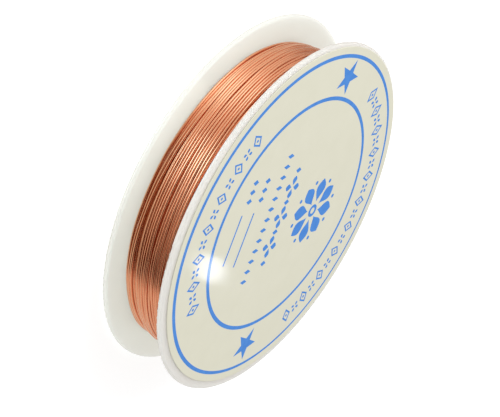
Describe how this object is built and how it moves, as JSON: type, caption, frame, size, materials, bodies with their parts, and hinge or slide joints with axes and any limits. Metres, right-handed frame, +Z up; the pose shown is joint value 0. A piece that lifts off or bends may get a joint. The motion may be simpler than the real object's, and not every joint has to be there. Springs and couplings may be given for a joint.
{
  "type": "copper craft wire spool",
  "caption": "Small flat spool of bright copper craft wire, wound between thin white moulded flanges, with a round paper label on the front flange and a blind spindle bore behind.",
  "frame": {"origin": "on the floor under the middle of the spool, which lies on its back flange", "axes": "+Z up along the spool's axis, from the open back flange to the label; +Y points to the top of the label's print and +X to its right"},
  "size_m": [0.053, 0.053, 0.0101],
  "materials": {
    "polypropylene": "satin white moulded plastic, slightly translucent",
    "copper": "bright bare copper wire, drawn",
    "label_paper": "cream coated paper with blue print"
  },
  "bodies": {
    "root": {"spool": "polypropylene", "wire_coil": "copper", "front_label": "label_paper"}
  },
  "joints": []
}
